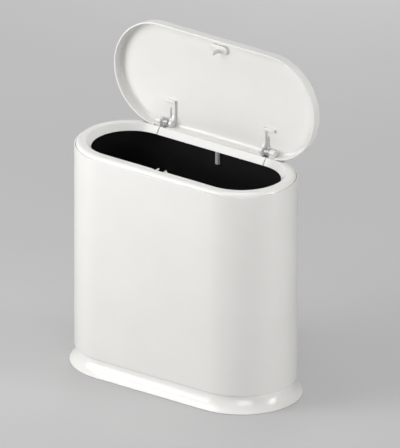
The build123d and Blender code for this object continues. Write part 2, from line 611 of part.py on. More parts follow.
def make_hinge_arm():
    """Right-hand goose-neck arm on the lid's floor, with a foot bar and the hinge barrel."""
    back = HINGE_Y + ARM_BACK
    tip = HINGE_Y - ARM_LENGTH
    bend = HINGE_Y - ARM_BEND_START
    stem_z = LID_CEILING_Z - ARM_STEM_HEIGHT
    throat = HINGE_Y - ARM_BARREL_RADIUS
    curve = TangentArc((bend, stem_z), (throat, HINGE_Z), tangent=(1, 0))
    rest = Polyline((throat, HINGE_Z), (back, HINGE_Z), (back, LID_CEILING_Z), (tip, LID_CEILING_Z),
                    (tip, stem_z), (bend, stem_z))
    rib = extrude(Plane.YZ * make_face([*curve.edges(), *rest.edges()]), ARM_WIDTH)
    arm = Pos(ARM_INNER, 0, 0) * rib
    arm += crosswise(ARM_INNER, ARM_OUTER, HINGE_Y, HINGE_Z, ARM_BARREL_RADIUS)
    bar = slab(ARM_INNER, ARM_INNER + ARM_BAR_LENGTH, tip, tip + ARM_BAR_WIDTH,
               LID_CEILING_Z - ARM_BAR_HEIGHT, LID_CEILING_Z)
    arm += fillet(bar.edges().group_by(Axis.Z)[0], ARM_BAR_HEIGHT / 3)
    return arm - crosswise(ARM_INNER, ARM_OUTER, HINGE_Y, HINGE_Z, PIN_RADIUS + PIN_CLEARANCE)


def make_latch_striker():
    """Pill-shaped plate on the lid's floor, with the arrow-headed hook, drawn shut."""
    plate_z = LID_CEILING_Z - STRIKER_THICKNESS
    plate = Pos(0, STRIKER_Y, plate_z) * extrude(SlotOverall(STRIKER_LENGTH, STRIKER_WIDTH), STRIKER_THICKNESS)
    plate = fillet(plate.edges().group_by(Axis.Z)[0], STRIKER_ROUND)
    neck = HOOK_NECK_WIDTH / 2
    head = HOOK_HEAD_WIDTH / 2
    tip = HOOK_TIP_WIDTH / 2
    shoulder = HOOK_TIP_Z + HOOK_HEAD_HEIGHT
    face = make_face(Polyline((-neck, LID_CEILING_Z), (-neck, shoulder), (-head, shoulder), (-tip, HOOK_TIP_Z),
                              (tip, HOOK_TIP_Z), (head, shoulder), (neck, shoulder), (neck, LID_CEILING_Z),
                              close=True))
    hook = Pos(0, LATCH_Y + HOOK_DEPTH / 2, 0) * extrude(Plane.XZ * face, HOOK_DEPTH)
    return plate + hook


def make_latch_housing():
    """Latch body with a mouth on top, a cavity for the jaws and two screw ears."""
    half = HOUSING_WIDTH / 2
    body = slab(-half, half, LATCH_Y - HOUSING_FRONT, LATCH_Y + HOUSING_BACK, HOUSING_BOTTOM, HOUSING_TOP)
    for side in (-1, 1):
        near, far = sorted((side * (half - EAR_THICKNESS), side * EAR_REACH))
        body += slab(near, far, EAR_FRONT, EAR_BACK, EAR_BOTTOM, EAR_TOP)
    cavity = CAVITY_WIDTH / 2
    mouth = MOUTH_WIDTH / 2
    deep = CAVITY_DEPTH / 2
    body -= slab(-cavity, cavity, LATCH_Y - deep, LATCH_Y + deep, CAVITY_FLOOR, HOUSING_TOP - HOUSING_ROOF)
    body -= slab(-mouth, mouth, LATCH_Y - deep, LATCH_Y + deep, HOUSING_TOP - HOUSING_ROOF, HOUSING_TOP)
    body -= upright(0, LATCH_Y, HOUSING_BOTTOM, CAVITY_FLOOR, ROD_RADIUS + ROD_CLEARANCE)
    hole = upright(0, 0, EAR_BOTTOM, EAR_TOP, SMALL_SHANK + SCREW_HOLE_GAP)
    body -= at_sides(LATCH_SCREW_X, LATCH_SCREW_Y, hole)
    return body - jaw_bores(JAW_PIN_RADIUS + PIN_CLEARANCE)


def jaw_bores(radius):
    """Two round bars along Y at the jaw pivots, through the housing's walls."""
    length = HOUSING_FRONT + HOUSING_BACK
    middle = LATCH_Y + (HOUSING_BACK - HOUSING_FRONT) / 2
    bar = Rot(90, 0, 0) * Cylinder(radius, length)
    return Compound([Pos(side * JAW_PIVOT_X, middle, JAW_PIVOT_Z) * bar for side in (-1, 1)])


def make_latch_jaw():
    """Right-hand jaw, drawn open, with a claw at its top and its pivot boss below."""
    claw_low = CLAW_TIP_Z - CLAW_DEPTH
    face = make_face(Polyline((JAW_INNER_X, JAW_PIVOT_Z), (JAW_INNER_X, claw_low - CLAW_THICKNESS / 4),
                              (CLAW_END_X, claw_low), (CLAW_END_X, CLAW_TIP_Z - CLAW_THICKNESS),
                              (CLAW_TIP_X, CLAW_TIP_Z), (JAW_OUTER_X, claw_low - CLAW_THICKNESS),
                              (JAW_OUTER_X, JAW_PIVOT_Z), close=True))
    jaw = Pos(0, LATCH_Y + JAW_DEPTH / 2, 0) * extrude(Plane.XZ * face, JAW_DEPTH)
    boss = Pos(JAW_PIVOT_X, LATCH_Y, JAW_PIVOT_Z) * Rot(90, 0, 0) * Cylinder(JAW_BOSS_RADIUS, JAW_DEPTH)
    return jaw + boss - jaw_bores(JAW_PIN_RADIUS + PIN_CLEARANCE)


def make_latch_plunger():
    """Pad that the striker presses, on a rod with a collet for the spring."""
    half = PAD_WIDTH / 2
    pad_low = PAD_TOP - PAD_HEIGHT
    plunger = slab(-half, half, LATCH_Y - half, LATCH_Y + half, pad_low, PAD_TOP)
    plunger += upright(0, LATCH_Y, HOUSING_BOTTOM + ROD_TAIL, pad_low, ROD_RADIUS)
    return plunger + upright(0, LATCH_Y, COLLET_BOTTOM, COLLET_TOP, COLLET_RADIUS)


def make_latch_spring():
    """Compression spring between the housing's floor and the plunger's collet."""
    seat = LATCH_SPRING_WIRE / 2 + LATCH_SPRING_SEAT
    path = coil_path(LATCH_SPRING_RADIUS, 0, 2 * math.pi * LATCH_SPRING_TURNS,
                     CAVITY_FLOOR + seat, COLLET_BOTTOM - seat, 0, 0)
    print("latch spring: least gap", round(wire_gap(path, LATCH_SPRING_RADIUS, LATCH_SPRING_WIRE), 3), "mm")
    return Pos(0, LATCH_Y, 0) * wound(path, LATCH_SPRING_WIRE)


def make_latch_screws():
    """Two screws through the housing's ears into the collar."""
    tip = OPENING_EDGE_HEIGHT - COLLAR_WALL / 4 - SCREW_TIP_GAP
    one = screw(SMALL_SHANK, SMALL_HEAD, SMALL_HEAD_HEIGHT, EAR_BOTTOM, tip)
    return Compound(at_sides(LATCH_SCREW_X, LATCH_SCREW_Y, one))


def pair(name, right):
    """A right-hand piece and its mirror image on the left."""
    return {name + "_right": right, name + "_left": mirror(right, Plane.YZ)}


def main():
    band = collar_band()
    nodes = {
        "outer_shell": make_outer_shell(),
        "base_plinth": make_base_plinth(),
        "plinth_screws": make_plinth_screws(),
        "foot_pads": make_foot_pads(),
        "inner_bucket": make_inner_bucket(),
        "collar_ring": make_collar_ring(band),
        "hinge_bar": make_hinge_bar(band),
        "hinge_bar_screws": make_hinge_bar_screws(),
        "latch_housing": make_latch_housing(),
        "latch_plunger": make_latch_plunger(),
        "latch_spring": make_latch_spring(),
        "latch_screws": make_latch_screws(),
        "jaw_pins": jaw_bores(JAW_PIN_RADIUS),
        "lid_shell": swung_open(make_lid_shell()),
        "latch_striker": swung_open(make_latch_striker()),
    }
    nodes.update(pair("hinge_pin", make_hinge_pin()))
    nodes.update(pair("torsion_spring", make_torsion_spring()))
    nodes.update(pair("hinge_arm", swung_open(make_hinge_arm())))
    nodes.update(pair("latch_jaw", make_latch_jaw()))
    os.makedirs("parts", exist_ok=True)
    for name, shape in nodes.items():
        export_step(shape, "parts/" + name + ".step")


main()
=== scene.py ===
import json
import math

import bmesh
import bpy
from mathutils import Matrix, Vector


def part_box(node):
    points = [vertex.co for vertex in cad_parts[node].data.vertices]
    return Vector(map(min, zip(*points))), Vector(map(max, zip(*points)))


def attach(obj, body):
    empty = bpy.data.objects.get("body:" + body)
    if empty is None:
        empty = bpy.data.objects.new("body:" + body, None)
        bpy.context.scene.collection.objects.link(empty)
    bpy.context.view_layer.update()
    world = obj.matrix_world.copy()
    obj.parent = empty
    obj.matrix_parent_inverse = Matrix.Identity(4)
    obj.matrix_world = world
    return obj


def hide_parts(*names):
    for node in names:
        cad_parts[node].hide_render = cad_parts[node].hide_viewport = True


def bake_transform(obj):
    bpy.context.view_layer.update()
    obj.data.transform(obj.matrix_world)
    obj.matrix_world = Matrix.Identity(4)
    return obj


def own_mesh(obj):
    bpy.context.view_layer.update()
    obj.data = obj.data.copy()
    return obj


# Slim press-lid waste bin, dressed round its CAD frame. Metres, +Z up, front towards -Y.
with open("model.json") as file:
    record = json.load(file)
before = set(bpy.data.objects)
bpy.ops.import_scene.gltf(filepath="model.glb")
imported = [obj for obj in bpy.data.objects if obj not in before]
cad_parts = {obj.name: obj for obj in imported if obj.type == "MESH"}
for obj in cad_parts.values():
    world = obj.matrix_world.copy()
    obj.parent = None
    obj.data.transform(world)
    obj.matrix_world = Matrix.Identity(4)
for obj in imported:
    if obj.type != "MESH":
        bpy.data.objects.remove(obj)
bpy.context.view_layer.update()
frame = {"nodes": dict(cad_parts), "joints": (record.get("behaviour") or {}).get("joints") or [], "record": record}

# Camera, fitted to the photo, which is an orthographic view; angles in degrees
AZIMUTH = 36.594
ELEVATION = 23.268
PHOTO_WIDTH = 400
PHOTO_HEIGHT = 448
PIXEL = 0.00119  # metres in one pixel of the photo
ORIGIN_PIXEL = (186.115, 375.027)  # where the frame's origin is in the photo
CAMERA_DISTANCE = 2.0

# Sizes that come from the frame
tub_low, tub_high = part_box("outer_shell")
plinth_low, plinth_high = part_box("base_plinth")
bucket_low, bucket_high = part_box("inner_bucket")
collar_low, collar_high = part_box("collar_ring")
bar_low, bar_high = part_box("hinge_bar")
lid_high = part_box("lid_shell")[1]
housing_low, housing_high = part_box("latch_housing")
joints = {joint["name"]: joint for joint in frame["joints"]}
hinge = Vector(joints["lid_hinge"]["pos_m"])
open_angle = math.radians(joints["lid_hinge"]["range_deg"][1])
jaw_pivot = Vector(joints["jaw_right_swing"]["pos_m"])
BODY_RADIUS = tub_high.y
HALF = tub_high.x - tub_high.y  # from the middle to the centre of an end arc
SHELL_BOTTOM = tub_low.z
SHELL_TOP = tub_high.z
COLLAR_RADIUS = collar_high.y
COLLAR_BOTTOM = collar_low.z
LATCH_Y = jaw_pivot.y

# Tub
SHELL_WALL = 0.0028
SHELL_FLOOR = 0.0024
SHELL_ROUND = 0.0030
SEAM_Z = SHELL_BOTTOM - 0.0019  # the wall's rim hangs round the plinth's neck
LIP_WALL = 0.0016
LIP_DEPTH = 0.0071
LIP_ROUND = 0.0006
LEDGE_Z = SHELL_TOP - LIP_DEPTH
LEDGE_ROUND = 0.0003

# Plinth
NECK_RADIUS = BODY_RADIUS - 0.0032
NECK_HEIGHT = 0.0027
NECK_GAP = 0.0001
SKIRT_WALL = 0.0018
SKIRT_EDGE = 0.0010
SKIRT_OUTER_ROUND = SKIRT_EDGE / 2
SKIRT_INNER_ROUND = SKIRT_EDGE / 3
DECK = 0.0022
RIB_THICKNESS = 0.0016
RIB_HEIGHT = 0.008
SCREW_SPOT = (HALF - 0.024, 0.032)
SCREW_POST = 0.0055
SCREW_WELL = 0.0032
FOOT_SPOT = (HALF + 0.014, 0.038)
FOOT_SOCKET = 0.0072
FOOT_POST_WALL = 0.002
FOOT_HEIGHT = 0.003

# Bucket
BUCKET_WALL = 0.0014
BUCKET_RIM_ROUND = BUCKET_WALL / 2.1  # a little under half, so that the rim keeps a flat
BUCKET_FLOOR = 0.002
BUCKET_ROUND = 0.008

# Collar
CREST_RADIUS = BODY_RADIUS - 0.007
CREST_Z = SHELL_TOP + 0.0042
SHOULDER_Z = SHELL_TOP - 0.0003
CREASE_RADIUS = BODY_RADIUS - 0.014  # the flat flange ends here and the funnel begins
CREASE_ROUND = 0.0009
OPENING_RADIUS = BODY_RADIUS - 0.0205
OPENING_Z = SHELL_TOP - 0.0042
COLLAR_WALL = 0.0016
RELIEF_RADIUS = 0.0083
RELIEF_WALL = 0.0018
RELIEF_HALF_LENGTH = HALF + 0.022
BAR_SLIT = 0.0012
SHELF_TOP = SHELL_TOP - 0.0043
SHELF_THICKNESS = 0.002
SHELF_FRONT = OPENING_RADIUS + 0.005
SHELF_OVERLAP = 0.004
BAR_SCREW_SPOT = (0.040, OPENING_RADIUS + 0.0086)
BAR_BOSS = 0.0034
FIT_GAP = 0.0003
NOTCH_HALF_WIDTH = 0.011
KNUCKLE_SPAN = (HALF - 0.0017, HALF + 0.0064)
KNUCKLE_RADIUS = 0.0041
KNUCKLE_STEP = 0.0004  # from the barrel in to the post's side
KNUCKLE_ROUND = 0.0009
TONGUE_RADIUS = 0.0033
TONGUE_REAR = bucket_high.y - 0.0018
TONGUE_ROUND = 0.0008
TONGUE_BOTTOM = bar_low.z + 0.0026

# Lid
LID_TRIM = 0.00004  # keeps the open lid inside the CAD box
LID_RADIUS = lid_high.x - HALF - LID_TRIM
LID_HEIGHT = 0.013
LID_LIP_BELOW_HINGE = 0.005
LID_WALL = 0.002
LID_FLOOR = 0.002
LID_TOP_ROUND = 0.002
LID_LIP_ROUND = 0.0006
LID_INNER_ROUND = 0.0035
LID_NOTCH = (0.0703, HALF + 0.007)
LID_NOTCH_HEIGHT = 0.0094
LID_LIP_Z = hinge.z - LID_LIP_BELOW_HINGE
LID_TOP_Z = LID_LIP_Z + LID_HEIGHT
LID_CEILING_Z = LID_TOP_Z - LID_FLOOR

# Hinge arms and springs
REAR_SHIFT = 0.001  # the rear fittings stand this far right of their mirrored places
ARM_INNER = 0.065
ARM_WIDTH = 0.004
ARM_ROUND = 0.0004
ARM_BARREL = 0.0042
ARM_LENGTH = 0.0283
ARM_STEM = 0.0026
ARM_BEND = 0.010
ARM_BACK = 0.0005
ARM_BAR_LENGTH = 0.017
ARM_BAR_WIDTH = 0.004
ARM_BAR_CORNER = 0.001
ARM_BAR_HEIGHT = 0.003
ARM_BAR_ROUND = 0.00075
PIN_BORE = 0.00115
SPRING_WIRE = 0.00085
SPRING_RADIUS = 0.00215
SPRING_SPAN = (0.0726, 0.0784)
SPRING_TURNS = 6
LID_LEG = 0.0178
LID_LEG_START = math.radians(-45)  # where the leg leaves the coil
LID_LEG_BEND = 0.003
LID_LEG_GAP = 0.0002
COLLAR_LEG = 0.0078
COLLAR_LEG_TILT = math.radians(40)

# Latch
HOUSING_HALF_WIDTH = 0.0107
HOUSING_FRONT = 0.0061
HOUSING_BROW = (0.0013, 0.0024)  # depth of the raised front edge, by the claws and at its ends
BROW_DROP = 0.0003
HOUSING_BACK = 0.0045
HOUSING_ROUND = 0.0005
NOTCH_RADIUS = HOUSING_FRONT + FIT_GAP - LATCH_Y
MOUTH = (0.008, 0.003)  # half width and half depth of the slot on top
CAVITY_HALF_WIDTH = 0.0093
HOUSING_ROOF = 0.002
ROD_HOLE = 0.00172
EAR_DEPTH = 0.007
EAR_SETBACK = 0.0035
EAR_DROP = 0.0044
EAR_THICKNESS = 0.002
EAR_ROUND = 0.00075
EAR_HOLE = 0.0014
JAW_DEPTH = 0.0052
JAW_BOSS = 0.002
JAW_BORE = 0.00105
JAW_INNER = 0.0016
JAW_OUTER = 0.0006
CLAW_TIP = 0.0014
CLAW_END = 0.0028
CLAW_RISE = 0.0034
CLAW_DEPTH = 0.0015
CLAW_THICKNESS = 0.0011
CLAW_SLOPE = 0.000275  # how far the claw's underside climbs to its end
LATCH_SPRING_WIRE = 0.0006
LATCH_SPRING_RADIUS = 0.0023
LATCH_SPRING_TURNS = 6

# Striker
STRIKER_LENGTH = 0.026
STRIKER_WIDTH = 0.0105
STRIKER_THICKNESS = 0.003
STRIKER_ROUND = 0.001
STRIKER_Y = LATCH_Y - 0.0019
HOOK_DEPTH = 0.004
HOOK_NECK = 0.0024
HOOK_HEAD = 0.0048
HOOK_HEAD_HEIGHT = 0.0016
HOOK_TIP_Z = housing_high.z - 0.0008

# Moulded edges and clean meshes
EDGE = 0.00025  # softening of moulded edges
EDGE_SEGMENTS = 2
SHARP_ANGLE = 38  # degrees; edges that turn less are shaded smooth
BAKED_SHARP_ANGLE = 50  # the same once the edges are softened
FLAT_ANGLE = 0.001  # radians; faces that turn less become one
WELD = 1e-6
PLATE_WELD = 1e-7

# Steps of the round stretches
CORNER_STEPS = 5
CIRCLE_STEPS = 32
TRACK_STEPS = 40
FLARE_STEPS = 14
SHOULDER_STEPS = 7
FLANGE_STEPS = 14
KNUCKLE_STEPS = 28
TONGUE_STEPS = 20
LID_CORNER_STEPS = 8
LID_LEG_STEPS = 8
ARM_BEND_STEPS = 12
ARM_BARREL_STEPS = 32
PILL_STEPS = 16
JAW_BOSS_STEPS = 24
TURN_STEPS = 24  # of each turn of a spring
WIRE_SIDES = 12
LATCH_WIRE_SIDES = 8

# Studio light: name, azimuth, elevation, size in metres and power in watts of each soft panel
LIT_HEIGHT = 0.2
LIGHT_DISTANCE = 1.7
STUDIO = (
    ("left_panel", -45, 6, (0.8, 0.8), 19.4),
    ("right_panel", 45, 6, (0.8, 0.8), 10.9),
    ("right_strip", 100, 6, (0.4, 1.0), 12.2),
    ("high_left", -35, 40, (0.8, 0.8), 9.2),
    ("overhead", 0, 90, (1.0, 1.0), 13.0),
)
BACK_PANEL = ("back_panel", -150, 12, (0.8, 0.8), 9.0)  # leaves no glint on the rim
SKY_STRENGTH = 0.01
SKY_SEEN = 0.6  # the sky as the camera and reflections see it
FLOOR_SIZE = 20.0
FLOOR_SHADES = ((0.30, 0.30, 0.30), (0.32, 0.32, 0.32))
FLOOR_ROUGHNESS = 0.8
FLOOR_BOUNCE = (0.25, 0.25, 0.25)  # the floor throws little light back up
FLOOR_GLOW = 0.25  # evens out the background

NOISE_MIDDLE = (0.3, 0.7)  # most of a noise value lies between these


def new_material(name):
    """An empty node material with its shader and object coordinates."""
    material = bpy.data.materials.new(name)
    material.use_nodes = True
    shader = material.node_tree.nodes["Principled BSDF"]
    place = material.node_tree.nodes.new("ShaderNodeTexCoord")
    return material, shader, place.outputs["Object"]


def noise(material, place, scale, detail=3.0):
    """A noise value over the object's own space; the scale is in cycles per metre."""
    node = material.node_tree.nodes.new("ShaderNodeTexNoise")
    node.inputs["Scale"].default_value = scale
    node.inputs["Detail"].default_value = detail
    material.node_tree.links.new(place, node.inputs["Vector"])
    return node.outputs["Fac"]


def spread(material, value, low=0.0, high=1.0):
    """Carry the middle of a noise value to a range from low to high."""
    node = material.node_tree.nodes.new("ShaderNodeMapRange")
    node.inputs["From Min"].default_value = NOISE_MIDDLE[0]
    node.inputs["From Max"].default_value = NOISE_MIDDLE[1]
    node.inputs["To Min"].default_value = low
    node.inputs["To Max"].default_value = high
    material.node_tree.links.new(value, node.inputs["Value"])
    return node.outputs["Result"]


def tint(material, value, dark, light):
    """A colour between two, chosen by a value from 0 to 1."""
    node = material.node_tree.nodes.new("ShaderNodeMix")
    node.data_type = "RGBA"
    node.inputs["A"].default_value = (*dark, 1)
    node.inputs["B"].default_value = (*light, 1)
    material.node_tree.links.new(value, node.inputs["Factor"])
    return node.outputs["Result"]


def bump(material, shader, value, depth, distance):
    """Raise the surface's shading by a height value."""
    node = material.node_tree.nodes.new("ShaderNodeBump")
    node.inputs["Strength"].default_value = depth
    node.inputs["Distance"].default_value = distance
    material.node_tree.links.new(value, node.inputs["Height"])
    material.node_tree.links.new(node.outputs["Normal"], shader.inputs["Normal"])


def make_white_plastic():
    """Satin moulded plastic: a faint warm mottle, a fine spark-eroded grain and an uneven sheen."""
    material, shader, place = new_material("white_plastic")
    link = material.node_tree.links.new
    mottle = spread(material, noise(material, place, scale=14.0))
    colour = tint(material, mottle, dark=(0.79, 0.782, 0.758), light=(0.815, 0.808, 0.785))
    sheen = spread(material, noise(material, place, scale=60.0), low=0.17, high=0.22)
    grain = noise(material, place, scale=2600.0, detail=2.0)
    link(colour, shader.inputs["Base Color"])
    link(sheen, shader.inputs["Roughness"])
    bump(material, shader, grain, depth=0.12, distance=0.00005)
    shader.inputs["Specular IOR Level"].default_value = 0.5
    return material


def make_black_plastic():
    """Matt black plastic with a moulded grain."""
    material, shader, place = new_material("black_plastic")
    link = material.node_tree.links.new
    mottle = spread(material, noise(material, place, scale=22.0))
    colour = tint(material, mottle, dark=(0.004, 0.004, 0.0042), light=(0.0075, 0.0075, 0.008))
    sheen = spread(material, noise(material, place, scale=90.0), low=0.55, high=0.68)
    grain = noise(material, place, scale=1800.0, detail=2.0)
    link(colour, shader.inputs["Base Color"])
    link(sheen, shader.inputs["Roughness"])
    bump(material, shader, grain, depth=0.2, distance=0.0001)
    shader.inputs["Specular IOR Level"].default_value = 0.25
    return material


def make_steel():
    """Bright drawn spring steel with a fine, uneven polish."""
    material, shader, place = new_material("steel")
    link = material.node_tree.links.new
    polish = noise(material, place, scale=900.0, detail=4.0)
    colour = tint(material, polish, dark=(0.60, 0.60, 0.61), light=(0.78, 0.78, 0.79))
    sheen = spread(material, polish, low=0.24, high=0.42)
    link(colour, shader.inputs["Base Color"])
    link(sheen, shader.inputs["Roughness"])
    bump(material, shader, polish, depth=0.1, distance=0.00003)
    shader.inputs["Metallic"].default_value = 1.0
    return material


def make_rubber():
    """Matt black rubber with a dusty bloom."""
    material, shader, place = new_material("rubber")
    link = material.node_tree.links.new
    bloom = spread(material, noise(material, place, scale=180.0))
    colour = tint(material, bloom, dark=(0.012, 0.012, 0.012), light=(0.03, 0.03, 0.029))
    sheen = spread(material, bloom, low=0.75, high=0.92)
    grain = noise(material, place, scale=2400.0, detail=2.0)
    link(colour, shader.inputs["Base Color"])
    link(sheen, shader.inputs["Roughness"])
    bump(material, shader, grain, depth=0.3, distance=0.0001)
    return material


materials = {
    "white_plastic": make_white_plastic(),
    "black_plastic": make_black_plastic(),
    "steel": make_steel(),
    "rubber": make_rubber(),
}


def finish_piece(piece, slot, body, *nodes):
    """Give a piece its material, the CAD nodes that it stands for and the body it rides, if any."""
    piece.data.materials.clear()
    piece.data.materials.append(materials[slot])
    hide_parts(*nodes)
    if body:
        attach(piece, body)


def smooth(mesh, degrees=SHARP_ANGLE):
    """Smooth shading that stops at real edges."""
    mesh.shade_smooth()
    mesh.set_sharp_from_angle(angle=math.radians(degrees))


def soften(piece, width):
    """Round a piece's sharp edges a little."""
    modifier = piece.modifiers.new("softened edges", "BEVEL")
    modifier.width = width
    modifier.segments = EDGE_SEGMENTS
    modifier.limit_method = "ANGLE"
    modifier.angle_limit = math.radians(SHARP_ANGLE)
    modifier.harden_normals = True
    return piece


def mesh_object(name, build):
    """A new object from a bmesh, with its normals facing out."""
    bmesh.ops.remove_doubles(build, verts=build.verts, dist=WELD)
    bmesh.ops.recalc_face_normals(build, faces=build.faces)
    mesh = bpy.data.meshes.new(name)
    build.to_mesh(mesh)
    build.free()
    piece = bpy.data.objects.new(name, mesh)
    bpy.context.scene.collection.objects.link(piece)
    smooth(mesh)
    return piece


def baked(piece):
    """A piece's mesh with its softened edges made real."""
    view = bpy.context.evaluated_depsgraph_get()
    return bpy.data.meshes.new_from_object(piece.evaluated_get(view))


def even_faces(piece):
    """Keep flat faces flat in shading where they run into softened edges."""
    smooth(piece.data, BAKED_SHARP_ANGLE)
    piece.modifiers.new("even faces", "WEIGHTED_NORMAL").keep_sharp = True
    return piece


def join(pieces, name):
    """Several meshes as one object."""
    build = bmesh.new()
    for piece in pieces:
        build.from_mesh(baked(piece))
        bpy.data.objects.remove(piece)
    mesh = bpy.data.meshes.new(name)
    build.to_mesh(mesh)
    build.free()
    joined = bpy.data.objects.new(name, mesh)
    bpy.context.scene.collection.objects.link(joined)
    return even_faces(joined)


def arc(centre, radius, start, stop, steps):
    """Points along a circular arc, in degrees."""
    turns = [math.radians(start + (stop - start) * step / steps) for step in range(steps + 1)]
    return [(centre[0] + radius * math.cos(a), centre[1] + radius * math.sin(a)) for a in turns]


def arc_radius(run, rise):
    """Radius of an arc that sets out along its run and ends a rise beside it."""
    return (run * run + rise * rise) / (2 * rise)


def rounded(corners, steps=CORNER_STEPS):
    """An outline from (x, y, radius) corners, with an arc at each corner that has a radius."""
    points = []
    for index, (x, y, radius) in enumerate(corners):
        corner = Vector((x, y))
        if radius == 0:
            points.append((x, y))
            continue
        before = (Vector(corners[index - 1][:2]) - corner).normalized()
        after = (Vector(corners[(index + 1) % len(corners)][:2]) - corner).normalized()
        half = before.angle(after) / 2
        centre = corner + (before + after).normalized() * radius / math.sin(half)
        reach = radius / math.tan(half)
        first = corner + before * reach - centre
        last = corner + after * reach - centre
        start = math.degrees(math.atan2(first.y, first.x))
        sweep = (math.degrees(math.atan2(last.y, last.x)) - start + 180) % 360 - 180
        points += arc(centre, radius, start, start + sweep, steps)
    return points


def circle(x, y, radius):
    """Points round a circle."""
    return arc((x, y), radius, 0, 360, CIRCLE_STEPS)[:-1]


def rectangle(x_low, x_high, y_low, y_high, radius=0.0):
    """Corner points of a rectangle, rounded if it has a radius."""
    corners = ((x_low, y_low), (x_high, y_low), (x_high, y_high), (x_low, y_high))
    return rounded([(x, y, radius) for x, y in corners])


def both_sides(right):
    """A closed outline from its right-hand half."""
    return [*right, *((-x, y) for x, y in reversed(right))]


def track(front_stops=(), rear_stops=(), rear_angles=()):
    """Stations round the racetrack plan, from the front's left end: centre x and outward normal."""
    turn = [180 * step / TRACK_STEPS for step in range(1, TRACK_STEPS)]
    stations = [(x, 0.0, -1.0) for x in sorted({-HALF, HALF, *front_stops})]
    for angle in sorted({*turn, *(180 - angle for angle in rear_angles)}):
        stations.append((HALF, math.sin(math.radians(angle)), -math.cos(math.radians(angle))))
    stations += [(x, 0.0, 1.0) for x in sorted({-HALF, HALF, *rear_stops}, reverse=True)]
    for angle in sorted({*turn, *rear_angles}):
        stations.append((-HALF, -math.sin(math.radians(angle)), math.cos(math.radians(angle))))
    return stations


def swept(name, profile, stations, windows=(), shape=None):
    """Carry a closed (radius, height) profile round the stations.

    A window is (first station, last station, first point, last point): the profile between
    those points is left out between those stations, and the cut is closed with walls. A shape
    moves each point, which it is given with its place in the profile.
    """
    build = bmesh.new()
    rings = []
    for centre, out_x, out_y in stations:
        spots = [Vector((centre + r * out_x, r * out_y, z)) for r, z in profile]
        if shape:
            spots = [shape(spot, j) for j, spot in enumerate(spots)]
        rings.append([build.verts.new(spot) for spot in spots])
    count = len(profile)
    total = len(stations)

    def add(corners):
        """A face, unless its corners fall together."""
        if len({tuple(v.co) for v in corners}) > 2:
            build.faces.new(corners)

    for i in range(total):
        here, there = rings[i], rings[(i + 1) % total]
        gone = set()
        for first, last, low, high in windows:
            if first <= i < last:
                gone.update(range(low, high))
                add([here[low], there[low], there[high], here[high]])
        for j in range(count):
            k = (j + 1) % count
            on_axis = profile[j][0] == 0 and profile[k][0] == 0
            if j not in gone and not on_axis:
                add([here[j], there[j], there[k], here[k]])
    for first, last, low, high in windows:
        for i in (first, last):
            add(rings[i][low:high + 1])
    return mesh_object(name, build)


def moulded(name, outlines, depth, place, edge=EDGE):
    """A plate cut from flat outlines, the first its edge and the others holes, with softened edges."""
    curve = bpy.data.curves.new(name, "CURVE")
    curve.dimensions = "2D"
    curve.fill_mode = "BOTH"
    curve.extrude = depth / 2
    for points in outlines:
        spline = curve.splines.new("POLY")
        spline.points.add(len(points) - 1)
        for spot, (x, y) in zip(spline.points, points):
            spot.co = (x, y, 0, 1)
        spline.use_cyclic_u = True
    drawn = bpy.data.objects.new(name, curve)
    mesh = bpy.data.meshes.new_from_object(drawn)
    bpy.data.objects.remove(drawn)
    build = bmesh.new()
    build.from_mesh(mesh)
    bmesh.ops.remove_doubles(build, verts=build.verts, dist=PLATE_WELD)
    bmesh.ops.dissolve_limit(build, angle_limit=FLAT_ANGLE, verts=build.verts, edges=build.edges)
    build.transform(place)
    return soften(mesh_object(name, build), edge)


def upright(name, outlines, z_low, z_high, edge=EDGE):
    """A moulded block that stands on a plan between two heights."""
    place = Matrix.Translation((0, 0, (z_low + z_high) / 2))
    return moulded(name, outlines, z_high - z_low, place, edge)


def across(x_middle):
    """Place for an outline of (y, z) points that is as deep along X as its plate."""
    return Matrix(((0, 0, 1, x_middle), (1, 0, 0, 0), (0, 1, 0, 0), (0, 0, 0, 1)))


def facing(y_middle):
    """Place for an outline of (x, z) points that is as deep along Y as its plate."""
    return Matrix(((1, 0, 0, 0), (0, 0, -1, y_middle), (0, 1, 0, 0), (0, 0, 0, 1)))


def swung_open():
    """The turn of a lid piece from the shut place it is drawn in to the open rest pose."""
    turn = Matrix.Rotation(-open_angle, 4, "X")
    return Matrix.Translation(hinge) @ turn @ Matrix.Translation(-hinge)


def mirrored(piece, name):
    """A copy on the other side of the middle plane."""
    build = bmesh.new()
    build.from_mesh(baked(piece))
    build.transform(Matrix.Scale(-1, 4, (1, 0, 0)))
    return even_faces(mesh_object(name, build))


def tube(name, points, radius, sides=WIRE_SIDES):
    """A round wire along points, with flat ends."""
    build = bmesh.new()
    rings = []
    side = Vector((1, 0, 0))
    turns = [2 * math.pi * step / sides for step in range(sides)]
    for index, point in enumerate(points):
        ahead = (points[min(index + 1, len(points) - 1)] - points[max(index - 1, 0)]).normalized()
        side = (side - ahead * side.dot(ahead)).normalized()
        third = ahead.cross(side)
        ring = [point + (side * math.cos(a) + third * math.sin(a)) * radius for a in turns]
        rings.append([build.verts.new(spot) for spot in ring])
    for here, there in zip(rings, rings[1:]):
        for step in range(sides):
            after = (step + 1) % sides
            build.faces.new((here[step], here[after], there[after], there[step]))
    build.faces.new(rings[0])
    build.faces.new(rings[-1])
    return mesh_object(name, build)


